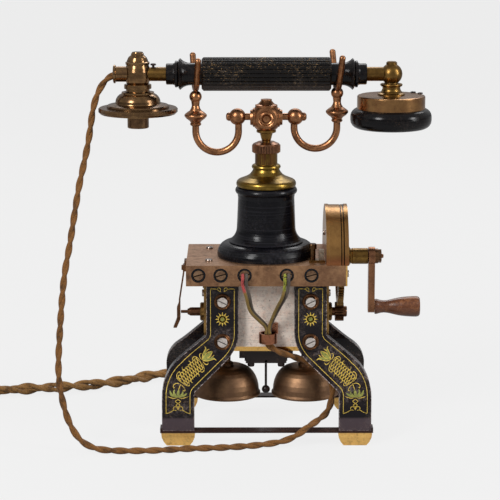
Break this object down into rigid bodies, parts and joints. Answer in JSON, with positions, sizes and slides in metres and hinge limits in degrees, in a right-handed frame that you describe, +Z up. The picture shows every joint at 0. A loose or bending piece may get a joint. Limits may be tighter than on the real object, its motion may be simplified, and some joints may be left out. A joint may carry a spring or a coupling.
{
  "type": "desk telephone",
  "caption": "Magneto desk telephone: four curved magnet legs, two bells under a hand generator with a side crank, a turned column and a forked cradle with a brass and black handset.",
  "frame": {"origin": "centre of the footprint on the table, without the free cords", "axes": "+Z up through the column, +X towards the crank, +Y away from the side that faces the user"},
  "size_m": [0.5299, 0.2297, 0.311],
  "materials": {
    "plate_brown": "worn",
    "brass_patina": "aged",
    "bright_brass": "polished",
    "copper_bronze": "aged",
    "bell_bronze": "dark",
    "ebonite": "polished",
    "black_lacquer": "gloss",
    "black_iron": "japanned",
    "pole_iron": "bare",
    "steel": "worn",
    "dark_wood": "varnished",
    "braid_tan": "braided",
    "braid_dark": "braided"
  },
  "bodies": {
    "root": {"base_plate": "plate_brown", "end_strip": "bright_brass", "terminal_insulators": "ebonite", "terminal_screws": "brass_patina", "small_screws": "steel", "column": "ebonite", "column_cap": "brass_patina", "collar_nut": "brass_patina", "hook_spring": "steel", "switch_contacts": "bright_brass", "gear_case": "brass_patina", "crank_bearing": "brass_patina", "contact_bracket": "brass_patina", "left_magnet": "black_lacquer", "right_magnet": "black_lacquer", "magnet_screws": "steel", "screw_cups": "brass_patina", "front_pole_piece": "pole_iron", "rear_pole_piece": "pole_iron", "generator_floor": "bright_brass", "bearing_plates": "brass_patina", "armature_bushes": "brass_patina", "shunt_spring": "bell_bronze", "feet": "bright_brass", "tie_straps": "black_lacquer", "ringer_bracket": "black_iron", "ringer_coils": "copper_bronze", "left_gong": "bell_bronze", "right_gong": "bell_bronze", "gong_posts": "brass_patina", "cord_clamps": "copper_bronze", "terminal_wires": "braid_tan", "handset_cord": "braid_tan", "line_cord": "braid_dark", "line_cord_coil": "braid_dark", "cord_tags": "bright_brass"},
    "clapper": {"clapper": "black_iron"},
    "armature": {"armature_core": "pole_iron", "pinion_shaft": "bell_bronze"},
    "crank": {"crank_gear": "brass_patina", "crank_shaft": "steel", "crank_arm": "brass_patina", "crank_nut": "steel"},
    "grip": {"crank_grip": "dark_wood"},
    "cradle": {"cradle_plunger": "brass_patina", "cradle_block": "copper_bronze", "left_hook": "copper_bronze", "right_hook": "copper_bronze"},
    "handset": {"handle": "ebonite", "handle_ends": "ebonite", "handset_tube": "brass_patina", "transmitter_knuckle": "brass_patina", "transmitter_cup": "brass_patina", "transmitter_works": "steel", "mouth_tube": "brass_patina", "receiver_knuckle": "brass_patina", "receiver_can": "brass_patina", "receiver_works": "steel", "ear_cap": "ebonite"}
  },
  "joints": [
    {"name": "handset_lift", "type": "slide", "parent": "root", "child": "handset", "axis": [0, 0, 1], "range_m": [0, 0.06], "deforming": ["handset_cord"]},
    {"name": "hook_rise", "type": "slide", "parent": "root", "child": "cradle", "axis": [0, 0, 1], "range_m": [0, 0.006], "deforming": ["hook_spring"]},
    {"name": "crank_turn", "type": "hinge", "parent": "root", "child": "crank", "pos_m": [0.074, 0, 0.1438], "axis": [1, 0, 0], "continuous": true},
    {"name": "armature_spin", "type": "hinge", "parent": "root", "child": "armature", "pos_m": [0, 0, 0.0973], "axis": [1, 0, 0], "continuous": true},
    {"name": "grip_spin", "type": "hinge", "parent": "crank", "child": "grip", "pos_m": [0.1, 0, 0.1014], "axis": [1, 0, 0], "continuous": true},
    {"name": "clapper_swing", "type": "hinge", "parent": "root", "child": "clapper", "pos_m": [0, 0, 0.05825], "axis": [0, 1, 0], "range_deg": [-1.8, 1.8]}
  ],
  "couplings": [
    {"joint": "hook_rise", "follows": "handset_lift", "ratio": 0.1},
    {"joint": "armature_spin", "follows": "crank_turn", "ratio": -5.6429}
  ]
}
